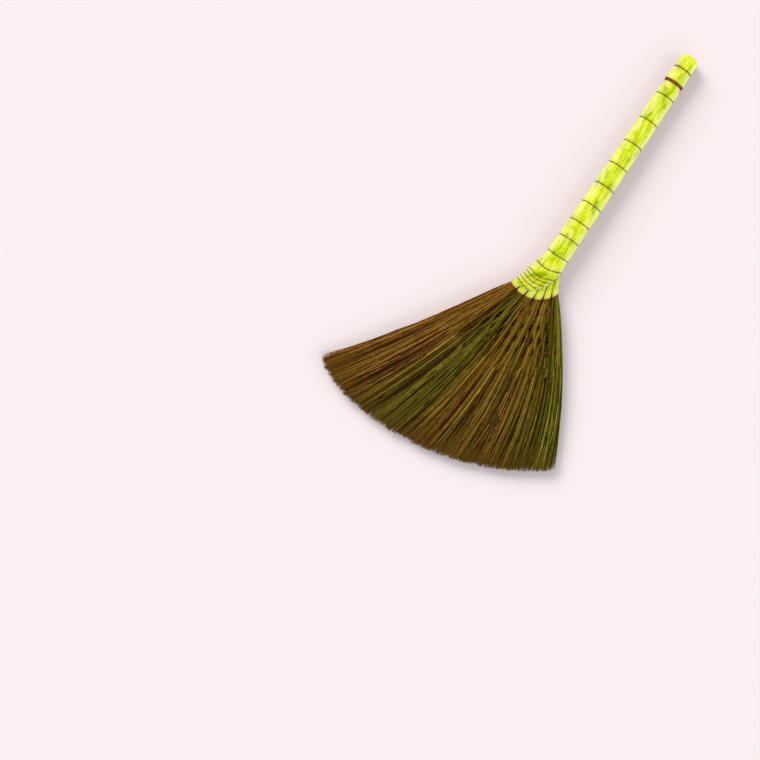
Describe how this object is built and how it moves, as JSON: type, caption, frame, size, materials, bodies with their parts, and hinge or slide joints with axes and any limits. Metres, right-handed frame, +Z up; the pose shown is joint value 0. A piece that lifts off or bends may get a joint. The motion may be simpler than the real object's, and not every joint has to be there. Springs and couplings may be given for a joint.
{
  "type": "reed fan broom",
  "caption": "Fan broom of dried grass reeds: film-wrapped stalk handle bound with twine, parted neck with tied sleeves, and a flat sewn fan in brown and green bands.",
  "frame": {"origin": "on the floor under the middle of the broom's box, the broom lying flat on its back", "axes": "+Y along the handle from the fan to the butt, +X towards the fan's short side, +Z up from the floor"},
  "size_m": [0.4522, 0.8638, 0.0439],
  "materials": {
    "lime_film": "crinkled plastic film, glossy lime yellow, stalks showing through",
    "brown_twine": "thin twisted twine, red-brown",
    "orange_twine": "thin twisted twine, orange-brown",
    "stitch_thread": "sewing thread, orange-red",
    "bare_stalk": "dry grass stalk, straw coloured",
    "brown_reed": "dry reed tops, brown, matt, paler at the tips",
    "green_reed": "dyed dry reed tops, olive green, matt, paler at the tips"
  },
  "bodies": {
    "root": {"handle_wrap": "lime_film", "handle_binding": "brown_twine", "butt_binding": "brown_twine", "stalk_bundle_1": "bare_stalk", "stalk_bundle_2": "bare_stalk", "stalk_bundle_3": "bare_stalk", "stalk_bundle_4": "bare_stalk", "stalk_bundle_5": "bare_stalk", "stalk_bundle_6": "bare_stalk", "bundle_sleeve_1": "lime_film", "bundle_sleeve_2": "lime_film", "bundle_sleeve_3": "lime_film", "bundle_sleeve_4": "lime_film", "bundle_sleeve_5": "lime_film", "bundle_sleeve_6": "lime_film", "bundle_tie_1": "orange_twine", "bundle_tie_2": "orange_twine", "bundle_tie_3": "orange_twine", "bundle_tie_4": "orange_twine", "bundle_tie_5": "orange_twine", "bundle_tie_6": "orange_twine", "neck_tie_1": "orange_twine", "neck_tie_2": "orange_twine", "neck_tie_3": "orange_twine", "neck_tie_4": "orange_twine", "neck_tie_5": "orange_twine", "stitch_row_1": "stitch_thread", "stitch_row_2": "stitch_thread", "stitch_row_3": "stitch_thread", "stitch_row_4": "stitch_thread", "short_side_reeds": "green_reed", "middle_reeds": "brown_reed", "green_reeds": "green_reed", "long_side_reeds": "brown_reed"}
  },
  "joints": []
}
